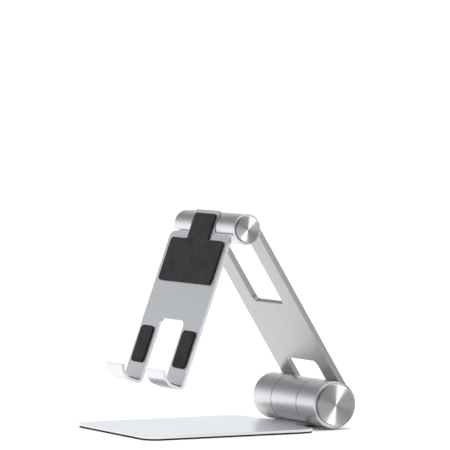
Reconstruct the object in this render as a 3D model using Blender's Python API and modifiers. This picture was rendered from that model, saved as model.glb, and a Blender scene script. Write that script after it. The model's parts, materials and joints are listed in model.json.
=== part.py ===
"""Folding tablet stand: a base plate, an arm on a wide friction hinge and a hooked tray on a slimmer one.

World frame in metres: +X along both hinge barrels, -Y towards the user, +Z up, and the origin on the table
under the middle of the stand. Each hinge has an empty on its axis. The pieces that turn on it are modelled
in that empty's frame: X along the barrel, Y along the arm or up the tray, Z towards the user.
"""

import math

import bmesh
import bpy

GAP = 0.0002  # left between pieces that touch on the real stand
RUNNING_GAP = 0.0003  # between pieces that turn against each other

# Base, with depths measured from the lower hinge axis
BASE_WIDTH = 0.108
BASE_FRONT = 0.1355
BASE_REAR = 0.0185
BASE_CORNER = 0.010
MAT_THICKNESS = 0.0009
MAT_INSET = 0.0005
PLATE_THICKNESS = 0.0016
PLATE_CHAMFER = 0.0005
PLATE_BOTTOM = MAT_THICKNESS + GAP
PLATE_TOP = PLATE_BOTTOM + PLATE_THICKNESS
TAB_HALF_WIDTH = 0.017
TAB_END = 0.0070
TAB_FILLET = 0.008
TAB_CORNER = 0.002

# Barrels of both hinges, measured outwards from the stand's middle plane
SEAM = 0.017
BARREL_END = 0.0415
SEAM_GAP = 0.0006
KNUCKLE_END = SEAM - SEAM_GAP / 2
SLEEVE_START = SEAM + SEAM_GAP / 2
SEAM_CHAMFER = 0.0001
SLEEVE_CHAMFER = 0.0005
SLEEVE_LIP = 0.0009
SLEEVE_RECESS = 0.0010
CAP_FACE = 0.0428
CAP_CHAMFER = 0.0002
CAP_SPIGOT_START = 0.0382

# Friction pack on each end of a hinge shaft
BUSH_WALL = 0.0009
FLANGE = 0.0008
WASHER = 0.0010
SPRING = 0.0007
SPRING_RISE = 0.0009
SHAFT_PROUD = 0.0010
SHAFT_CHAMFER = 0.0005

LOWER_RADIUS = 0.0148
LOWER_AXIS_HEIGHT = LOWER_RADIUS + 0.0008
LOWER_AXIS_Y = (BASE_FRONT + LOWER_RADIUS) / 2 - LOWER_RADIUS
UPPER_RADIUS = 0.0095

# Arm
ARM_LEAN = math.radians(31.5)  # forward of vertical
ARM_SPAN = 0.1268  # between the hinge axes, along the arm
ARM_THICKNESS = 0.0035
ARM_HALF_WIDTH = 0.0377
ARM_CHAMFER = 0.0003
ARM_BACK = LOWER_RADIUS  # the back face is tangent to both barrels
ARM_FRONT = ARM_BACK - ARM_THICKNESS
UPPER_AXIS_DEPTH = ARM_BACK - UPPER_RADIUS
LOWER_NOTCH_HALF_WIDTH = 0.0206
LOWER_NOTCH_TOP = 0.0235
UPPER_NOTCH_HALF_WIDTH = 0.0203
UPPER_NOTCH_BOTTOM = 0.0664
NOTCH_FILLET = 0.0035
NOTCH_STEPS = 8

# Tray, measured from the upper hinge axis
TRAY_TILT = math.radians(20.1)  # back from vertical
TRAY_HALF_WIDTH = 0.0415
TRAY_THICKNESS = 0.0018
TRAY_CHAMFER = 0.00025
TRAY_FRONT = UPPER_RADIUS
TRAY_BACK = TRAY_FRONT - TRAY_THICKNESS
TRAY_SHOULDER = -0.0072
TRAY_CORNER = 0.005
TONGUE_TOP = 0.0080
TONGUE_HALF_WIDTH = 0.0165
TONGUE_FILLET = 0.0008
TONGUE_CORNER = 0.002
SLOT_HALF_WIDTH = 0.017
SLOT_TOP = -0.064
SLOT_FILLET = 0.004
DEVICE_EDGE = -0.1046  # bottom edge of the tablet that the hooks hold
HOOK_FLOOR = DEVICE_EDGE - 0.0010
HOOK_BACK_RADIUS = 0.0015
HOOK_FRONT_RADIUS = 0.0082
HOOK_FRONT_DEPTH = 0.0150  # from the hinge axis forward to where the front bend starts
HOOK_TIP = math.radians(11)  # how far the tip stops short of pointing straight up the tray
PAD_THICKNESS = 0.0009
PAD_HALF_WIDTH = 0.036
PAD_BOTTOM = -0.040
PAD_TOP = -0.0115
PAD_CORNER = 0.003
PAD_TAB_HALF_WIDTH = 0.014
PAD_TAB_TOP = 0.0055
PAD_TAB_CORNER = 0.002
PAD_TAB_FILLET = 0.001
LEG_PAD_INNER = 0.021
LEG_PAD_OUTER = 0.0375
LEG_PAD_BOTTOM = -0.094
LEG_PAD_TOP = -0.070
SEAT_INSET = 0.0006
SEAT_DROP = 0.0003  # below the tablet's edge

# Screws: head radius, head depth, shank radius and length under the head's face
SCREW_CLEARANCE = 0.0002
SCREW_ACCESS = 0.004  # how far a hole's cutter reaches above the head
BASE_SCREW = (0.0028, 0.0012, 0.0015, 0.0088)
TRAY_SCREW = (0.0023, 0.0010, 0.00115, 0.0053)
KNUCKLE_SCREW_X = 0.009
ARM_SCREW_X = 0.0346

# What differs between the hinges: radii, the thickness of the sleeve's web, the nut's width across its flats
# and its length, and the arm screw with its head's height in the arm's frame and its offset along the arm
LOWER_HINGE = {
    "radius": LOWER_RADIUS,
    "cavity": 0.0090,
    "shaft": 0.0040,
    "web": 0.0035,
    "washer": 0.0072,
    "across_flats": 0.0120,
    "nut": 0.0050,
    "boss": 0.0126,
    "arm_screw": (0.0026, 0.0014, 0.0014, 0.0063),
    "screw_height": -0.0076,
    "screw_offset": 0.0046,
}
UPPER_HINGE = {
    "radius": UPPER_RADIUS,
    "cavity": 0.0050,
    "shaft": 0.0025,
    "web": 0.0030,
    "washer": 0.0046,
    "across_flats": 0.0078,
    "nut": 0.0040,
    "boss": 0.0078,
    "arm_screw": (0.0020, 0.0012, 0.0011, 0.0053),
    "screw_height": -0.0084,
    "screw_offset": 0.0032,
}

BARREL_STEPS = 64
FINE_STEPS = 24
SCREW_STEPS = 16
CUTTER_REACH = 0.030  # how far a cutter runs past what it cuts

ALUMINIUM = ("satin_aluminium", (0.80, 0.81, 0.82), 1.0, 0.32)
SPUN_ALUMINIUM = ("spun_aluminium", (0.86, 0.86, 0.87), 1.0, 0.25)
RUBBER = ("black_rubber", (0.02, 0.02, 0.02), 0.0, 0.85)
STEEL = ("zinc_plated_steel", (0.55, 0.56, 0.58), 1.0, 0.35)
POLYMER = ("white_acetal", (0.85, 0.85, 0.82), 0.0, 0.5)

UPRIGHT = (0, 0, 0)
RIGHT = (math.pi / 2, 0, math.pi / 2)  # turns a piece's own X, Y, Z axes to Y, Z, X
LEFT = (math.pi / 2, 0, -math.pi / 2)  # turns a piece's own Z axis to -X
SIDES = (("left", -1, LEFT), ("right", 1, RIGHT))


def new_collection(name, hidden=False):
    collection = bpy.data.collections.new(name)
    collection.hide_render = hidden
    bpy.context.scene.collection.children.link(collection)
    return collection


def new_hinge_frame(name, location, turn, parent):
    empty = bpy.data.objects.new(name, None)
    PARTS.objects.link(empty)
    empty.location = location
    empty.rotation_euler = (turn, 0, 0)
    empty.parent = parent
    return empty


def material(name, colour, metallic, roughness):
    found = bpy.data.materials.get(name)
    if found:
        return found
    made = bpy.data.materials.new(name)
    made.use_nodes = True
    shader = made.node_tree.nodes["Principled BSDF"]
    shader.inputs["Base Color"].default_value = (*colour, 1)
    shader.inputs["Metallic"].default_value = metallic
    shader.inputs["Roughness"].default_value = roughness
    return made


def place(obj, parent, location, rotation, finish):
    """Put an object in its hinge's frame. One with no finish is a cutter."""
    (PARTS if finish else CUTTERS).objects.link(obj)
    obj.parent = parent
    obj.location = location
    obj.rotation_euler = rotation
    if finish:
        obj.data.materials.append(material(*finish))
    else:
        obj.hide_render = True
        obj.display_type = "WIRE"
    return obj


def modify(obj, kind, **settings):
    modifier = obj.modifiers.new(kind.title(), kind)
    for name, value in settings.items():
        setattr(modifier, name, value)


def cut(obj, cutter, operation="DIFFERENCE"):
    modify(obj, "BOOLEAN", operation=operation, solver="EXACT", object=cutter)


def chamfer(obj, width):
    modify(obj, "BEVEL", width=width, segments=1, limit_method="ANGLE", angle_limit=math.radians(50))


def turned(name, profile, parent, location, rotation, finish, steps=FINE_STEPS):
    """Turn (radius, height) points about the piece's own Z axis. A profile that starts off it is a ring."""
    closed = profile[0][0] > 0
    count = len(profile)
    edges = [(i, (i + 1) % count) for i in range(count if closed else count - 1)]
    mesh = bpy.data.meshes.new(name)
    mesh.from_pydata([(radius, 0, height) for radius, height in profile], edges, [])
    obj = place(bpy.data.objects.new(name, mesh), parent, location, rotation, finish)
    modify(
        obj,
        "SCREW",
        axis="Z",
        angle=2 * math.pi,
        steps=steps,
        render_steps=steps,
        use_merge_vertices=True,
        merge_threshold=0.00001,
        use_smooth_shade=True,
    )
    return obj


def ring(outer, inner, low, high, edge=0.0):
    """The profile of a ring, with its outer edges chamfered."""
    if not edge:
        return [(outer, high), (outer, low), (inner, low), (inner, high)]
    outside = [(outer - edge, high), (outer, high - edge), (outer, low + edge), (outer - edge, low)]
    return outside + [(inner, low), (inner, high)]


def arc(centre, radius, start, end, steps):
    angles = [start + (end - start) * i / steps for i in range(steps + 1)]
    return [(centre[0] + radius * math.cos(a), centre[1] + radius * math.sin(a)) for a in angles]


def rounded(corners, steps=6):
    """An outline through (x, y, radius) corners, each turned into an arc tangent to both its sides."""
    outline = []
    for i, (x, y, radius) in enumerate(corners):
        if not radius:
            outline.append((x, y))
            continue
        sides = []
        for other in (corners[i - 1], corners[(i + 1) % len(corners)]):
            length = math.hypot(other[0] - x, other[1] - y)
            sides.append(((other[0] - x) / length, (other[1] - y) / length))
        (ax, ay), (bx, by) = sides
        half = math.acos(ax * bx + ay * by) / 2
        reach = radius / math.sin(half) / math.hypot(ax + bx, ay + by)
        centre = (x + (ax + bx) * reach, y + (ay + by) * reach)
        cut_back = radius / math.tan(half)
        start = math.atan2(y + ay * cut_back - centre[1], x + ax * cut_back - centre[0])
        end = math.atan2(y + by * cut_back - centre[1], x + bx * cut_back - centre[0])
        outline += arc(centre, radius, start, start + math.remainder(end - start, 2 * math.pi), steps)
    return outline


def mirrored(right):
    """Corners of a symmetric outline from its right half, listed from the bottom middle to the top middle."""
    return right + [(-x, y, radius) for x, y, radius in reversed(right)]


def slab(name, outlines, low, high, parent, location, rotation, finish):
    """A flat piece between two heights on its own Z axis. Outlines after the first are holes in it."""
    curve = bpy.data.curves.new(name, "CURVE")
    curve.dimensions = "2D"
    curve.fill_mode = "BOTH"
    curve.extrude = (high - low) / 2
    for outline in outlines:
        spline = curve.splines.new("POLY")
        spline.points.add(len(outline) - 1)
        for point, (x, y) in zip(spline.points, outline):
            point.co = (x, y, 0, 1)
        spline.use_cyclic_u = True
    drawn = bpy.data.objects.new(name + "_outline", curve)
    PARTS.objects.link(drawn)
    bpy.context.view_layer.update()
    mesh = bpy.data.meshes.new_from_object(drawn.evaluated_get(bpy.context.evaluated_depsgraph_get()))
    bpy.data.objects.remove(drawn, do_unlink=True)
    work = bmesh.new()
    work.from_mesh(mesh)
    bmesh.ops.remove_doubles(work, verts=work.verts, dist=0.000001)
    bmesh.ops.translate(work, verts=work.verts, vec=(0, 0, (low + high) / 2))
    bmesh.ops.recalc_face_normals(work, faces=work.faces)
    work.to_mesh(mesh)
    work.free()
    return place(bpy.data.objects.new(name, mesh), parent, location, rotation, finish)


def box_cutter(name, low, high, parent):
    corners = [(low[0], low[1]), (high[0], low[1]), (high[0], high[1]), (low[0], high[1])]
    return slab(name, [corners], low[2], high[2], parent, (0, 0, 0), UPRIGHT, None)


def screw(name, sizes, countersunk, parent, location, rotation, *joined):
    """A screw whose head faces up its own Z axis, with its hole cut from the pieces that it joins."""

    def profile(clearance, access):
        head, depth, shank, length = sizes
        head, shank, length = head + clearance, shank + clearance, length + clearance
        seat = [] if countersunk else [(head, -depth - clearance)]
        rim = [(head, 0)] if access else []
        under = depth if countersunk else depth + clearance
        return [(0, access), (head, access), *rim, *seat, (shank, -under), (shank, -length), (0, -length)]

    turned(name, profile(0, 0), parent, location, rotation, STEEL, SCREW_STEPS)
    hole = profile(SCREW_CLEARANCE, SCREW_ACCESS)
    cutter = turned(name + "_hole", hole, parent, location, rotation, None, SCREW_STEPS)
    for piece in joined:
        cut(piece, cutter)


class Hinge:
    """One friction hinge. Distances along its shaft are measured from the stand's middle plane."""

    def __init__(self, name, sizes):
        self.name = name
        self.radius = sizes["radius"]
        self.cavity = sizes["cavity"]
        self.shaft = sizes["shaft"]
        self.washer = sizes["washer"]
        self.boss = sizes["boss"]
        self.arm_screw = sizes["arm_screw"]
        self.screw_height = sizes["screw_height"]
        self.screw_offset = sizes["screw_offset"]
        self.bore = self.shaft + GAP
        self.bush = self.bore + BUSH_WALL
        self.nut_corner = sizes["across_flats"] / math.sqrt(3)
        self.web_end = SLEEVE_START + sizes["web"]
        self.flange_start = self.web_end + GAP
        self.flange_end = self.flange_start + FLANGE
        self.washer_start = self.flange_end + RUNNING_GAP
        self.spring_start = self.washer_start + WASHER + GAP
        self.nut_start = self.spring_start + SPRING_RISE + SPRING + GAP
        self.nut_end = self.nut_start + sizes["nut"]

    def knuckle(self, name, parent, centre):
        """The middle barrel segment, in which the shaft is fixed."""
        profile = ring(self.radius, self.bore, -KNUCKLE_END, KNUCKLE_END, SEAM_CHAMFER)
        return turned(name, profile, parent, centre, RIGHT, ALUMINIUM, BARREL_STEPS)

    def shaft_piece(self, parent, centre):
        end = self.nut_end + SHAFT_PROUD
        side, face = end - SHAFT_CHAMFER, self.shaft - SHAFT_CHAMFER
        profile = [(0, end), (face, end), (self.shaft, side), (self.shaft, -side), (face, -end), (0, -end)]
        turned(f"{self.name}_shaft", profile, parent, centre, RIGHT, STEEL)

    def friction_pack(self, side, turn, parent, centre):
        """What clamps a sleeve's web on the shaft: a washer, a disc spring and a lock nut."""
        washer = ring(self.washer, self.bore, self.washer_start, self.washer_start + WASHER)
        turned(f"{self.name}_friction_washer_{side}", washer, parent, centre, turn, STEEL)
        rim, crown = self.spring_start, self.spring_start + SPRING_RISE
        spring = [(self.washer, rim + SPRING), (self.washer, rim)]
        spring += [(self.bore, crown), (self.bore, crown + SPRING)]
        turned(f"{self.name}_disc_spring_{side}", spring, parent, centre, turn, STEEL)
        hexagon = arc((0, 0), self.nut_corner, 0, 2 * math.pi, 6)[:-1]
        thread = arc((0, 0), self.bore, 0, 2 * math.pi, SCREW_STEPS)[:-1]
        name = f"{self.name}_lock_nut_{side}"
        slab(name, [hexagon, thread], self.nut_start, self.nut_end, parent, centre, turn, STEEL)

    def sleeve(self, side, turn, parent, centre):
        """The outer barrel segment: a web at the seam, and a cavity open to a recess inside a thin lip."""
        hole, edge = self.bush + GAP, SLEEVE_CHAMFER
        profile = [
            (self.radius - SLEEVE_LIP, BARREL_END - SLEEVE_RECESS),
            (self.radius - SLEEVE_LIP, BARREL_END),
            (self.radius - edge, BARREL_END),
            (self.radius, BARREL_END - edge),
            (self.radius, SLEEVE_START + SEAM_CHAMFER),
            (self.radius - SEAM_CHAMFER, SLEEVE_START),
            (hole, SLEEVE_START),
            (hole, self.web_end),
            (self.cavity, self.web_end),
            (self.cavity, BARREL_END - SLEEVE_RECESS),
        ]
        return turned(f"{self.name}_sleeve_{side}", profile, parent, centre, turn, ALUMINIUM, BARREL_STEPS)

    def bush_piece(self, side, turn, parent, centre):
        flange = [(self.washer, self.flange_end), (self.washer, self.flange_start)]
        outside = [(self.bush, self.flange_start), (self.bush, SLEEVE_START)]
        profile = [*flange, *outside, (self.bore, SLEEVE_START), (self.bore, self.flange_end)]
        turned(f"{self.name}_bush_{side}", profile, parent, centre, turn, POLYMER)

    def end_cap(self, side, turn, parent, centre):
        """A spun disc that stands in the sleeve's recess, on a spigot that presses into the sleeve."""
        seat, spigot = BARREL_END - SLEEVE_RECESS + GAP, self.cavity - GAP
        disc = [(0, CAP_FACE), (self.boss - CAP_CHAMFER, CAP_FACE), (self.boss, CAP_FACE - CAP_CHAMFER)]
        back = [(self.boss, seat), (spigot, seat), (spigot, CAP_SPIGOT_START), (0, CAP_SPIGOT_START)]
        profile = [*disc, *back]
        turned(f"{self.name}_end_cap_{side}", profile, parent, centre, turn, SPUN_ALUMINIUM, BARREL_STEPS)


LOWER = Hinge("lower", LOWER_HINGE)
UPPER = Hinge("upper", UPPER_HINGE)


def base_outline(inset):
    """The plate with the tab that runs under the barrel."""
    half, tab = BASE_WIDTH / 2 - inset, TAB_HALF_WIDTH - inset
    corner, rear = BASE_CORNER - inset, -BASE_REAR - inset
    right = [(half, inset - BASE_FRONT, corner), (half, rear, corner)]
    right += [(tab, rear, TAB_FILLET), (tab, TAB_END - inset, TAB_CORNER)]
    return rounded(mirrored(right))


def build_base():
    """The plate on its rubber mat, and the lower barrel's middle segment, which holds the shaft."""
    foot, axis = (0, LOWER_AXIS_Y, 0), (0, LOWER_AXIS_Y, LOWER_AXIS_HEIGHT)
    slab("base_mat", [base_outline(MAT_INSET)], 0, MAT_THICKNESS, None, foot, UPRIGHT, RUBBER)
    plate = slab("base_plate", [base_outline(0)], PLATE_BOTTOM, PLATE_TOP, None, foot, UPRIGHT, ALUMINIUM)
    chamfer(plate, PLATE_CHAMFER)
    knuckle = LOWER.knuckle("base_knuckle", None, axis)
    low = (-SEAM, LOWER_AXIS_Y - LOWER_RADIUS, -LOWER_RADIUS)
    high = (SEAM, LOWER_AXIS_Y + LOWER_RADIUS, PLATE_TOP + GAP)
    cut(knuckle, box_cutter("base_knuckle_seat", low, high, None))
    for side, sign, turn in SIDES:
        bottom = (sign * KNUCKLE_SCREW_X, LOWER_AXIS_Y, PLATE_BOTTOM + GAP / 2)
        screw(f"base_screw_{side}", BASE_SCREW, True, None, bottom, (math.pi, 0, 0), plate, knuckle)
        LOWER.friction_pack(side, turn, None, axis)
    LOWER.shaft_piece(None, axis)


def build_arm(frame):
    """The plate between the barrels, seated in a pocket in each of the four sleeves with one screw."""
    lower, upper = (0, 0, 0), (0, ARM_SPAN, -UPPER_AXIS_DEPTH)
    right = [
        (LOWER_NOTCH_HALF_WIDTH, LOWER_NOTCH_TOP, NOTCH_FILLET),
        (LOWER_NOTCH_HALF_WIDTH, 0, 0),
        (ARM_HALF_WIDTH, 0, 0),
        (ARM_HALF_WIDTH, ARM_SPAN, 0),
        (UPPER_NOTCH_HALF_WIDTH, ARM_SPAN, 0),
        (UPPER_NOTCH_HALF_WIDTH, UPPER_NOTCH_BOTTOM, NOTCH_FILLET),
    ]
    outline = [rounded(mirrored(right), NOTCH_STEPS)]
    plate = slab("arm_plate", outline, -ARM_BACK, -ARM_FRONT, frame, lower, UPRIGHT, ALUMINIUM)
    chamfer(plate, ARM_CHAMFER)
    for side, sign, turn in SIDES:
        for hinge, centre, notch, inward in (
            (LOWER, lower, LOWER_NOTCH_HALF_WIDTH, 1),
            (UPPER, upper, UPPER_NOTCH_HALF_WIDTH, -1),
        ):
            sleeve = hinge.sleeve(side, turn, frame, centre)
            across = sorted(sign * x for x in (notch - GAP, ARM_HALF_WIDTH + GAP))
            along = sorted(centre[1] + inward * y for y in (-GAP, CUTTER_REACH))
            low, high = (across[0], along[0], -CUTTER_REACH), (across[1], along[1], GAP - ARM_FRONT)
            cut(sleeve, box_cutter(f"{hinge.name}_pocket_{side}", low, high, frame))
            head = (sign * ARM_SCREW_X, centre[1] + inward * hinge.screw_offset, hinge.screw_height)
            name = f"{hinge.name}_arm_screw_{side}"
            screw(name, hinge.arm_screw, False, frame, head, UPRIGHT, sleeve, plate)
            hinge.bush_piece(side, turn, frame, centre)
            hinge.end_cap(side, turn, frame, centre)


def hook_arcs(offset, back_start, front_end):
    """The hook's curve as (y, z), offset outwards from its inner face, from the tray round to the tip."""
    back = (HOOK_FLOOR + HOOK_BACK_RADIUS, TRAY_FRONT + HOOK_BACK_RADIUS)
    front = (HOOK_FLOOR + HOOK_FRONT_RADIUS, HOOK_FRONT_DEPTH)
    points = arc(back, HOOK_BACK_RADIUS + offset, back_start, -math.pi, 6)
    return points + arc(front, HOOK_FRONT_RADIUS + offset, math.pi, front_end, 12)


def tray_section():
    """The bent sheet seen from its end: down the front face, round the hook and back up behind."""
    top, tip = TONGUE_TOP + CUTTER_REACH, math.pi / 2 + HOOK_TIP
    inside = hook_arcs(0, -math.pi / 2, tip)
    outside = hook_arcs(TRAY_THICKNESS, -math.pi / 2, tip)
    return [(top, TRAY_FRONT), *inside, *reversed(outside), (top, TRAY_BACK)]


def seat_section():
    """The rubber seat that fills the hook up to just under the tablet's edge."""
    back_radius, front_radius = HOOK_BACK_RADIUS - GAP, HOOK_FRONT_RADIUS - GAP
    top = DEVICE_EDGE - SEAT_DROP
    back_start = -math.acos((top - HOOK_FLOOR - HOOK_BACK_RADIUS) / back_radius)
    return hook_arcs(-GAP, back_start, math.acos((top - HOOK_FLOOR - HOOK_FRONT_RADIUS) / front_radius))


def build_tray(frame):
    """The hooked sheet with its rubber, and the upper barrel's middle segment, which holds the shaft."""
    centre, reach = (0, 0, 0), TRAY_HALF_WIDTH + GAP
    tray = slab("tray_plate", [tray_section()], -reach, reach, frame, centre, RIGHT, ALUMINIUM)
    front = [
        (SLOT_HALF_WIDTH, SLOT_TOP, SLOT_FILLET),
        (SLOT_HALF_WIDTH, HOOK_FLOOR - CUTTER_REACH, 0),
        (TRAY_HALF_WIDTH, HOOK_FLOOR - CUTTER_REACH, 0),
        (TRAY_HALF_WIDTH, TRAY_SHOULDER, TRAY_CORNER),
        (TONGUE_HALF_WIDTH, TRAY_SHOULDER, TONGUE_FILLET),
        (TONGUE_HALF_WIDTH, TONGUE_TOP, TONGUE_CORNER),
    ]
    outline = [rounded(mirrored(front))]
    shape = slab("tray_outline", outline, -CUTTER_REACH, 2 * CUTTER_REACH, frame, centre, UPRIGHT, None)
    cut(tray, shape, "INTERSECT")
    knuckle = UPPER.knuckle("tray_knuckle", frame, centre)
    low, high = (-SEAM, -UPPER_RADIUS, TRAY_BACK - GAP), (SEAM, UPPER_RADIUS, CUTTER_REACH)
    cut(knuckle, box_cutter("tray_knuckle_seat", low, high, frame))
    for side, sign, turn in SIDES:
        head = (sign * KNUCKLE_SCREW_X, 0, TRAY_FRONT - GAP / 2)
        screw(f"tray_screw_{side}", TRAY_SCREW, True, frame, head, UPRIGHT, tray, knuckle)
        UPPER.friction_pack(side, turn, frame, centre)
    UPPER.shaft_piece(frame, centre)
    build_rubber(frame)


def build_rubber(frame):
    """A pad across the top that also hides the screws, one on each leg, and a seat in each hook."""
    centre, low = (0, 0, 0), TRAY_FRONT + GAP
    high = low + PAD_THICKNESS
    right = [
        (PAD_HALF_WIDTH, PAD_BOTTOM, PAD_CORNER),
        (PAD_HALF_WIDTH, PAD_TOP, PAD_CORNER),
        (PAD_TAB_HALF_WIDTH, PAD_TOP, PAD_TAB_FILLET),
        (PAD_TAB_HALF_WIDTH, PAD_TAB_TOP, PAD_TAB_CORNER),
    ]
    slab("tray_pad", [rounded(mirrored(right))], low, high, frame, centre, UPRIGHT, RUBBER)
    for side, sign, _ in SIDES:
        inner, outer = sign * LEG_PAD_INNER, sign * LEG_PAD_OUTER
        leg = [(inner, LEG_PAD_BOTTOM), (outer, LEG_PAD_BOTTOM), (outer, LEG_PAD_TOP), (inner, LEG_PAD_TOP)]
        outline = [rounded([(x, y, PAD_CORNER) for x, y in leg])]
        slab(f"leg_pad_{side}", outline, low, high, frame, centre, UPRIGHT, RUBBER)
        ends = sorted(sign * x for x in (SLOT_HALF_WIDTH + SEAT_INSET, TRAY_HALF_WIDTH - SEAT_INSET))
        slab(f"hook_seat_{side}", [seat_section()], *ends, frame, centre, RIGHT, RUBBER)


for leftover in list(bpy.data.objects):
    bpy.data.objects.remove(leftover, do_unlink=True)
PARTS = new_collection("tablet_stand")
CUTTERS = new_collection("cutters", hidden=True)
arm_frame = new_hinge_frame("arm_hinge", (0, LOWER_AXIS_Y, LOWER_AXIS_HEIGHT), math.pi / 2 + ARM_LEAN, None)
upper_axis = (0, ARM_SPAN, -UPPER_AXIS_DEPTH)
tray_frame = new_hinge_frame("tray_hinge", upper_axis, -ARM_LEAN - TRAY_TILT, arm_frame)
build_base()
build_arm(arm_frame)
build_tray(tray_frame)
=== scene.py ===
"""Looks for the folding tablet stand: rounded edges, turned, spun and blasted aluminium, rubber and steel.

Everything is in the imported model's frame, in metres: +X along both barrels, -Y towards the user, +Z up.
"""

import json
import math

import bpy
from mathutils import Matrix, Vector

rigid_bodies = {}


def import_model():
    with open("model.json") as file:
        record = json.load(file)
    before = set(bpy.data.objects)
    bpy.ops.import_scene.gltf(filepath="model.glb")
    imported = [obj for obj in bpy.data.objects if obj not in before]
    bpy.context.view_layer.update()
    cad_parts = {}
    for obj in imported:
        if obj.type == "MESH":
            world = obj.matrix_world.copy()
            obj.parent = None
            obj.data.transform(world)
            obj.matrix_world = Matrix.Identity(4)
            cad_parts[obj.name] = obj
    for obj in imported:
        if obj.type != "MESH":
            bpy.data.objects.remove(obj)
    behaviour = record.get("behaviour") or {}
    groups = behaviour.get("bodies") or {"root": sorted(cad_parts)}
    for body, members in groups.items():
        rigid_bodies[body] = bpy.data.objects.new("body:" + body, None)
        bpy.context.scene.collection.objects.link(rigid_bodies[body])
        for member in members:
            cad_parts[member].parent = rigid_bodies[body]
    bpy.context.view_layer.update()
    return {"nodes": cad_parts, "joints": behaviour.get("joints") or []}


# Camera: a long lens, low and well to the user's right
CAMERA_PLACE = Vector((2.1371, -1.08035, 0.2285))
CAMERA_TARGET = Vector((-0.0226, 0.01585, 0.1265))
CAMERA_LENS = 306.7
CAMERA_SENSOR = 36.0

# Sky brightness by the sine of the elevation: bright low down, dark above, and softer again overhead
SKY_TINT = (0.955, 0.975, 1.0)
SKY_STEPS = [
    (-1.0, 1.0), (0.07, 1.12), (0.17, 0.84), (0.28, 0.44),
    (0.40, 0.24), (0.62, 0.22), (0.80, 0.60), (0.92, 0.95), (1.0, 1.0),
]
# Sectors of the sky, as (azimuth from +X towards +Y, elevation, angle from the middle out to which the sector
# is full, angle where it ends, strength). The dark one takes its strength away as a share, the bright ones
# add theirs
DARK_SECTOR = (26.9, 6.0, 8.0, 36.0, 0.45)
BRIGHT_SECTORS = [(153.0, 8.0, 8.0, 34.0, 0.40), (35.0, 48.0, 6.0, 30.0, 0.45)]
# A grey card on the floor that only reflections see, a painted shadow standing in for shaded floor: its near
# corner and its size, along the dark sector's azimuth and across it
CARD_CORNER = (0.10, -0.015)
CARD_SIZE = (3.0, 1.2)
CARD_HEIGHT = 0.0004
CARD_TONE = 0.42
# A soft box that lights only the end caps: azimuth, elevation, distance, diameter, power in watts
SOFT_BOX = (62.0, 36.0, 1.5, 0.75, 34.0)

FLOOR_SIZE = 30.0
FLOOR_COLOUR = 0.90
FLOOR_ROUGHNESS = 0.6
FLOOR_SPECULAR = 0.2
CARD_ROUGHNESS = 0.9
# The wide light overhead, which reflections don't see
OVERHEAD_STRENGTH = 2.5
OVERHEAD_ANGLE = math.radians(64)
OVERHEAD_TILT = (math.radians(-8), math.radians(6), 0)

# The plates' colours, all the same aluminium. The arm's lower value is painted shade, standing in for the
# shaded floor that its face reflects
PLATE_TONES_WITH_PAINTED_SHADE = {"base": 0.84, "arm": 0.48, "tray": 0.80}
# Cloudiness in a plate: its darker and lighter colours as shares of its tone
PLATE_DARK = (0.975, 0.985, 1.0)
PLATE_LIGHT = (1.005, 1.015, 1.025)
TURNED_COLOUR = (0.75, 0.755, 0.76)
TURNED_DARK = (0.74, 0.745, 0.75)
TURNED_LIGHT = (0.765, 0.77, 0.775)
TURNING_PITCH = 0.00012
TURNING_STRETCH = 30
SPUN_COLOUR = (0.48, 0.484, 0.488)
SPUN_RINGS = 4500
SPUN_ANISOTROPY = 0.97
# A quarter turn lays the grain's long direction round the axis
SPUN_TURN = 0.25
RUBBER_COLOUR = (0.012, 0.012, 0.013)
RUBBER_DARK = (0.006, 0.006, 0.007)
RUBBER_LIGHT = (0.020, 0.020, 0.021)
STEEL_COLOUR = (0.58, 0.60, 0.62)
STEEL_DARK = (0.50, 0.52, 0.55)
STEEL_LIGHT = (0.66, 0.67, 0.68)
ACETAL_COLOUR = (0.84, 0.84, 0.80)
ACETAL_SUBSURFACE = 0.1
# A material's average roughness, and the range that its grain moves it through
ROUGHNESS = {"blasted": 0.30, "turned": 0.32, "spun": 0.42, "rubber": 0.72, "steel": 0.30, "acetal": 0.42}
ROUGHNESS_RANGE = {
    "blasted": (0.28, 0.33),
    "turned": (0.31, 0.34),
    "spun": (0.38, 0.46),
    "rubber": (0.62, 0.82),
    "steel": (0.22, 0.42),
    "acetal": (0.36, 0.50),
}
# Relief as (distance in metres, strength)
RELIEF = {
    "blasted": (0.00002, 0.35),
    "turned": (0.000002, 0.06),
    "spun": (0.00001, 0.4),
    "rubber": (0.00006, 0.5),
    "steel": (0.00002, 0.3),
    "acetal": (0.00002, 0.25),
}
# Most of a noise texture's values lie between these two
NOISE_LOW = 0.3
NOISE_HIGH = 0.7

# How far edges are rounded, in metres. Pieces inside the barrels keep theirs sharp
PLATE_EDGE = 0.00016
TURNED_EDGE = 0.00006
RUBBER_EDGE = 0.0001
ROUNDED_SEGMENTS = 3
SAME_POINT = 0.000004
FLAT_ANGLE = math.radians(0.5)
SHARP_ANGLE = math.radians(30)


def new_material(name, colour, metallic, roughness):
    made = bpy.data.materials.new(name)
    made.use_nodes = True
    shader = made.node_tree.nodes["Principled BSDF"]
    shader.inputs["Base Color"].default_value = (*colour, 1)
    shader.inputs["Metallic"].default_value = metallic
    shader.inputs["Roughness"].default_value = roughness
    return made, shader


def add_node(material, kind, inputs=None, **settings):
    """Add a node. An input is a value, or the output socket of another node."""
    made = material.node_tree.nodes.new(kind)
    for name, value in settings.items():
        setattr(made, name, value)
    for name, value in (inputs or {}).items():
        if isinstance(value, bpy.types.NodeSocket):
            material.node_tree.links.new(value, made.inputs[name])
        else:
            made.inputs[name].default_value = value
    return made


def place_of(material):
    """Where a point lies on the piece, in the model's frame at rest."""
    return add_node(material, "ShaderNodeTexCoord").outputs["Object"]


def noise(material, vector, scale, detail=2.0):
    inputs = {"Vector": vector, "Scale": scale, "Detail": detail}
    return add_node(material, "ShaderNodeTexNoise", inputs).outputs["Fac"]


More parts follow.
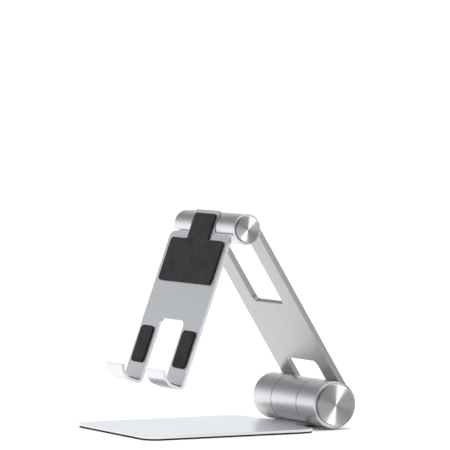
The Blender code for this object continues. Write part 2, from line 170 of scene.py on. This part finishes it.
def spread(material, value, low, high):
    """Map a noise value onto low to high."""
    inputs = {"Value": value, "From Min": NOISE_LOW, "From Max": NOISE_HIGH, "To Min": low, "To Max": high}
    return add_node(material, "ShaderNodeMapRange", inputs).outputs["Result"]


def tint(material, value, dark, light):
    """A colour between two others, by a noise value."""
    mixed = add_node(material, "ShaderNodeMix", {"Factor": value}, data_type="RGBA")
    mixed.inputs["A"].default_value = (*dark, 1)
    mixed.inputs["B"].default_value = (*light, 1)
    return mixed.outputs["Result"]


def bump(material, height, distance, strength):
    inputs = {"Height": height, "Distance": distance, "Strength": strength}
    return add_node(material, "ShaderNodeBump", inputs).outputs["Normal"]


def vector_math(tree, operation, *values):
    return add_node(tree, "ShaderNodeVectorMath", dict(enumerate(values)), operation=operation)


def connect(material, output, shader, name):
    material.node_tree.links.new(output, shader.inputs[name])


def blasted_aluminium(name, tone):
    """Bead-blasted and anodised plate: a fine even grain, with faint cloudiness in tone and gloss. On the arm
    the tone it is given is darkened by painted shade.
    """
    made, shader = new_material(name, (tone, tone, tone), 1.0, ROUGHNESS["blasted"])
    place = place_of(made)
    clouds = noise(made, place, scale=45, detail=3)
    dark = [tone * share for share in PLATE_DARK]
    light = [tone * share for share in PLATE_LIGHT]
    gloss = noise(made, place, scale=420, detail=2)
    grit = noise(made, place, scale=5200, detail=1)
    connect(made, tint(made, clouds, dark, light), shader, "Base Color")
    connect(made, spread(made, gloss, *ROUGHNESS_RANGE["blasted"]), shader, "Roughness")
    connect(made, bump(made, grit, *RELIEF["blasted"]), shader, "Normal")
    return made


def turned_grain(material, pitch):
    """Grooves round an axis along X, as a height from 0 to 1 that changes along the axis only."""
    place = place_of(material)
    scale = (1 / pitch, TURNING_STRETCH, TURNING_STRETCH)
    stretched = add_node(material, "ShaderNodeMapping", {"Vector": place, "Scale": scale})
    return noise(material, stretched.outputs["Vector"], scale=1.0, detail=2)


def turned_aluminium(name):
    """A barrel turned about the hinge axis: fine grooves round it, which draw the highlight out along it."""
    made, shader = new_material(name, TURNED_COLOUR, 1.0, ROUGHNESS["turned"])
    clouds = noise(made, place_of(made), scale=60, detail=3)
    connect(made, tint(made, clouds, TURNED_DARK, TURNED_LIGHT), shader, "Base Color")
    grain = turned_grain(made, TURNING_PITCH)
    connect(made, spread(made, grain, *ROUGHNESS_RANGE["turned"]), shader, "Roughness")
    connect(made, bump(made, grain, *RELIEF["turned"]), shader, "Normal")
    return made


def spun_aluminium(name, axis):
    """An end disc with a fine circular grain about the hinge axis, which splits its highlight into wedges."""
    made, shader = new_material(name, SPUN_COLOUR, 1.0, ROUGHNESS["spun"])
    centred = add_node(made, "ShaderNodeMapping", {"Vector": place_of(made), "Location": -axis})
    flat = vector_math(made, "MULTIPLY", centred.outputs["Vector"], (0, 1, 1)).outputs["Vector"]
    radius = vector_math(made, "LENGTH", flat).outputs["Value"]
    inputs = {"W": radius, "Scale": SPUN_RINGS, "Detail": 3}
    rings = add_node(made, "ShaderNodeTexNoise", inputs, noise_dimensions="1D").outputs["Fac"]
    connect(made, spread(made, rings, *ROUGHNESS_RANGE["spun"]), shader, "Roughness")
    connect(made, bump(made, rings, *RELIEF["spun"]), shader, "Normal")
    shader.inputs["Anisotropic"].default_value = SPUN_ANISOTROPY
    shader.inputs["Anisotropic Rotation"].default_value = SPUN_TURN
    tangent = vector_math(made, "CROSS_PRODUCT", flat, (1, 0, 0)).outputs["Vector"]
    round_axis = vector_math(made, "NORMALIZE", tangent).outputs["Vector"]
    connect(made, round_axis, shader, "Tangent")
    return made


def black_rubber():
    """Moulded silicone: matt, with a faint pebble and a little dust in its grain."""
    made, shader = new_material("black_rubber", RUBBER_COLOUR, 0.0, ROUGHNESS["rubber"])
    place = place_of(made)
    dust = noise(made, place, scale=900, detail=4)
    wear = noise(made, place, scale=160, detail=3)
    pebble = noise(made, place, scale=3000, detail=2)
    connect(made, tint(made, dust, RUBBER_DARK, RUBBER_LIGHT), shader, "Base Color")
    connect(made, spread(made, wear, *ROUGHNESS_RANGE["rubber"]), shader, "Roughness")
    connect(made, bump(made, pebble, *RELIEF["rubber"]), shader, "Normal")
    return made


def plated_steel():
    """Zinc plate: a cool metal with cloudy gloss."""
    made, shader = new_material("plated_steel", STEEL_COLOUR, 1.0, ROUGHNESS["steel"])
    place = place_of(made)
    clouds = noise(made, place, scale=700, detail=3)
    grit = noise(made, place, scale=2600, detail=2)
    connect(made, tint(made, clouds, STEEL_DARK, STEEL_LIGHT), shader, "Base Color")
    connect(made, spread(made, clouds, *ROUGHNESS_RANGE["steel"]), shader, "Roughness")
    connect(made, bump(made, grit, *RELIEF["steel"]), shader, "Normal")
    return made


def acetal():
    """White bearing plastic, slightly waxy."""
    made, shader = new_material("acetal", ACETAL_COLOUR, 0.0, ROUGHNESS["acetal"])
    place = place_of(made)
    gloss = noise(made, place, scale=500, detail=2)
    grit = noise(made, place, scale=2400, detail=2)
    connect(made, spread(made, gloss, *ROUGHNESS_RANGE["acetal"]), shader, "Roughness")
    connect(made, bump(made, grit, *RELIEF["acetal"]), shader, "Normal")
    shader.inputs["Subsurface Weight"].default_value = ACETAL_SUBSURFACE
    return made


def smooth_shading():
    """A geometry node group that shades a mesh smooth between its sharp edges."""
    group = bpy.data.node_groups.new("smooth_shading", "GeometryNodeTree")
    group.interface.new_socket("Geometry", in_out="INPUT", socket_type="NodeSocketGeometry")
    group.interface.new_socket("Geometry", in_out="OUTPUT", socket_type="NodeSocketGeometry")
    start, end = group.nodes.new("NodeGroupInput"), group.nodes.new("NodeGroupOutput")
    angle = group.nodes.new("GeometryNodeInputMeshEdgeAngle")
    sharp = group.nodes.new("FunctionNodeCompare")
    sharp.operation = "GREATER_THAN"
    sharp.inputs["B"].default_value = SHARP_ANGLE
    faces = group.nodes.new("GeometryNodeSetShadeSmooth")
    edges = group.nodes.new("GeometryNodeSetShadeSmooth")
    edges.domain = "EDGE"
    edges.inputs["Shade Smooth"].default_value = False
    group.links.new(start.outputs[0], faces.inputs["Geometry"])
    group.links.new(faces.outputs[0], edges.inputs["Geometry"])
    group.links.new(angle.outputs["Unsigned Angle"], sharp.inputs["A"])
    group.links.new(sharp.outputs["Result"], edges.inputs["Selection"])
    group.links.new(edges.outputs[0], end.inputs[0])
    return group


def refine(obj, edge):
    """Join a CAD node's triangles into whole faces, round its edges and shade it smooth, all by modifiers."""
    weld = obj.modifiers.new("Weld", "WELD")
    weld.merge_threshold = SAME_POINT
    flat = obj.modifiers.new("Whole faces", "DECIMATE")
    flat.decimate_type = "DISSOLVE"
    flat.angle_limit = FLAT_ANGLE
    if edge:
        bevel = obj.modifiers.new("Rounded edges", "BEVEL")
        bevel.width = edge
        bevel.segments = ROUNDED_SEGMENTS
        bevel.limit_method = "ANGLE"
        bevel.angle_limit = SHARP_ANGLE
        bevel.harden_normals = False
        bevel.miter_outer = "MITER_ARC"
    smooth = obj.modifiers.new("Smooth shading", "NODES")
    smooth.node_group = SMOOTH
    weighted = obj.modifiers.new("Even normals", "WEIGHTED_NORMAL")
    weighted.keep_sharp = True


def finish_node(name, material, edge):
    """Dress one CAD node. Its stored normals go, because the modifiers work out new ones."""
    obj = frame["nodes"][name]
    obj.data.materials.clear()
    obj.data.materials.append(material)
    if "custom_normal" in obj.data.attributes:
        obj.data.attributes.remove(obj.data.attributes["custom_normal"])
    refine(obj, edge)


def joint_axis(name):
    return Vector(next(joint["pos_m"] for joint in frame["joints"] if joint["name"] == name))


def dress_frame():
    """Give every CAD node its material and its smooth surface."""
    rubber, steel, plastic = black_rubber(), plated_steel(), acetal()
    # The arm's satin is a darker copy of the same aluminium: painted shade
    plates = {name: blasted_aluminium(name + "_satin", tone) for name, tone in PLATE_TONES_WITH_PAINTED_SHADE.items()}
    axes = {"lower": joint_axis("arm_fold"), "upper": joint_axis("tray_tilt")}
    turned = {name: turned_aluminium(name + "_turned") for name in axes}
    spun = {name: spun_aluminium(name + "_spun", axis) for name, axis in axes.items()}
    for name in frame["nodes"]:
        hinge = "upper" if name.startswith(("upper", "tray")) else "lower"
        if "end_cap" in name:
            finish_node(name, spun[hinge], TURNED_EDGE)
        elif "sleeve" in name or "knuckle" in name:
            finish_node(name, turned[hinge], TURNED_EDGE)
        elif "plate" in name:
            finish_node(name, plates[name.removesuffix("_plate")], PLATE_EDGE)
        elif "pad" in name or "seat" in name or "mat" in name:
            finish_node(name, rubber, RUBBER_EDGE)
        elif "bush" in name:
            finish_node(name, plastic, None)
        else:
            finish_node(name, steel, None)


def build_floor():
    bpy.ops.mesh.primitive_plane_add(size=FLOOR_SIZE)
    floor = bpy.context.object
    floor.name = "floor"
    made, shader = new_material("floor_paint", (FLOOR_COLOUR,) * 3, 0.0, FLOOR_ROUGHNESS)
    shader.inputs["Specular IOR Level"].default_value = FLOOR_SPECULAR
    floor.data.materials.append(made)


def towards(azimuth, elevation):
    """A unit vector from two angles in degrees. Azimuth runs from +X towards +Y."""
    azimuth, elevation = math.radians(azimuth), math.radians(elevation)
    flat = math.cos(elevation)
    return Vector((flat * math.cos(azimuth), flat * math.sin(azimuth), math.sin(elevation)))


def patch(world, direction, spot):
    """A soft round patch of the sky, from 0 outside it to its strength in the middle."""
    azimuth, elevation, full, end, strength = spot
    middle = towards(azimuth, elevation)
    facing = vector_math(world, "DOT_PRODUCT", direction, middle)
    inputs = {
        "Value": facing.outputs["Value"],
        "From Min": math.cos(math.radians(end)),
        "From Max": math.cos(math.radians(full)),
        "To Max": strength,
    }
    made = add_node(world, "ShaderNodeMapRange", inputs, interpolation_type="SMOOTHSTEP")
    return made.outputs["Result"]


def arithmetic(world, operation, first, second):
    return add_node(world, "ShaderNodeMath", {0: first, 1: second}, operation=operation).outputs["Value"]


def build_sky():
    """The sky: a bright horizon, a dark band over it, a soft light top, and darker and brighter sectors."""
    world = bpy.data.worlds.new("studio")
    bpy.context.scene.world = world
    world.use_nodes = True
    background = world.node_tree.nodes["Background"]
    background.inputs["Color"].default_value = (*SKY_TINT, 1)
    direction = add_node(world, "ShaderNodeTexCoord").outputs["Generated"]
    height = add_node(world, "ShaderNodeSeparateXYZ", {0: direction}).outputs["Z"]
    inputs = {"Value": height, "From Min": -1.0, "From Max": 1.0}
    share = add_node(world, "ShaderNodeMapRange", inputs).outputs["Result"]
    ramp = add_node(world, "ShaderNodeValToRGB", {0: share})
    steps = ramp.color_ramp.elements
    while len(steps) < len(SKY_STEPS):
        steps.new(1.0)
    for step, (sine, value) in zip(steps, SKY_STEPS):
        step.position = (sine + 1) / 2
        step.color = (value, value, value, 1)
    shade = arithmetic(world, "SUBTRACT", 1.0, patch(world, direction, DARK_SECTOR))
    shaded = arithmetic(world, "MULTIPLY", ramp.outputs["Color"], shade)
    for sector in BRIGHT_SECTORS:
        shaded = arithmetic(world, "ADD", shaded, patch(world, direction, sector))
    world.node_tree.links.new(shaded, background.inputs["Strength"])


def build_overhead():
    """A wide light from above. Reflections see only the sky."""
    lamp = bpy.data.lights.new("overhead", "SUN")
    lamp.energy = OVERHEAD_STRENGTH
    lamp.angle = OVERHEAD_ANGLE
    overhead = bpy.data.objects.new("overhead", lamp)
    bpy.context.scene.collection.objects.link(overhead)
    overhead.rotation_euler = OVERHEAD_TILT
    overhead.visible_glossy = False


def build_soft_box():
    """A round light that shows in the spun caps as a bright wedge, and lights nothing else."""
    azimuth, elevation, distance, diameter, power = SOFT_BOX
    lamp = bpy.data.lights.new("soft_box", "AREA")
    lamp.shape = "DISK"
    lamp.size = diameter
    lamp.energy = power
    box = bpy.data.objects.new("soft_box", lamp)
    box.location = towards(azimuth, elevation) * distance
    box.rotation_euler = box.location.to_track_quat("Z", "Y").to_euler()
    box.visible_diffuse = False
    bpy.context.scene.collection.objects.link(box)
    caps = bpy.data.collections.new("spun_caps")
    for piece in bpy.data.objects:
        if "end_cap" in piece.name:
            caps.objects.link(piece)
    box.light_linking.receiver_collection = caps


def build_card():
    """A grey card on the floor that only reflections see: a painted shadow, standing in for shaded floor, so
    the walls that face it look less bright.
    """
    azimuth = DARK_SECTOR[0]
    (near, side), (length, width) = CARD_CORNER, CARD_SIZE
    bpy.ops.mesh.primitive_plane_add(size=1)
    card = bpy.context.object
    card.name = "dark_card"
    card.scale = (length, width, 1)
    along, across = towards(azimuth, 0), towards(azimuth + 90, 0)
    card.location = along * (near + length / 2) + across * (side + width / 2)
    card.location.z = CARD_HEIGHT
    card.rotation_euler.z = math.radians(azimuth)
    card.visible_camera = card.visible_diffuse = card.visible_shadow = False
    made, shader = new_material("dark_card", (CARD_TONE,) * 3, 0.0, CARD_ROUGHNESS)
    shader.inputs["Specular IOR Level"].default_value = 0.0
    card.data.materials.append(made)


def build_camera():
    data = bpy.data.cameras.new("camera")
    data.lens = CAMERA_LENS
    data.sensor_width = CAMERA_SENSOR
    data.clip_end = FLOOR_SIZE
    camera = bpy.data.objects.new("camera", data)
    camera.location = CAMERA_PLACE
    camera.rotation_euler = (CAMERA_TARGET - CAMERA_PLACE).to_track_quat("-Z", "Y").to_euler()
    bpy.context.scene.collection.objects.link(camera)
    bpy.context.scene.camera = camera
    bpy.context.scene.view_settings.view_transform = "Standard"


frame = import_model()
SMOOTH = smooth_shading()
build_camera()
dress_frame()
build_floor()
build_sky()
build_overhead()
build_soft_box()
build_card()
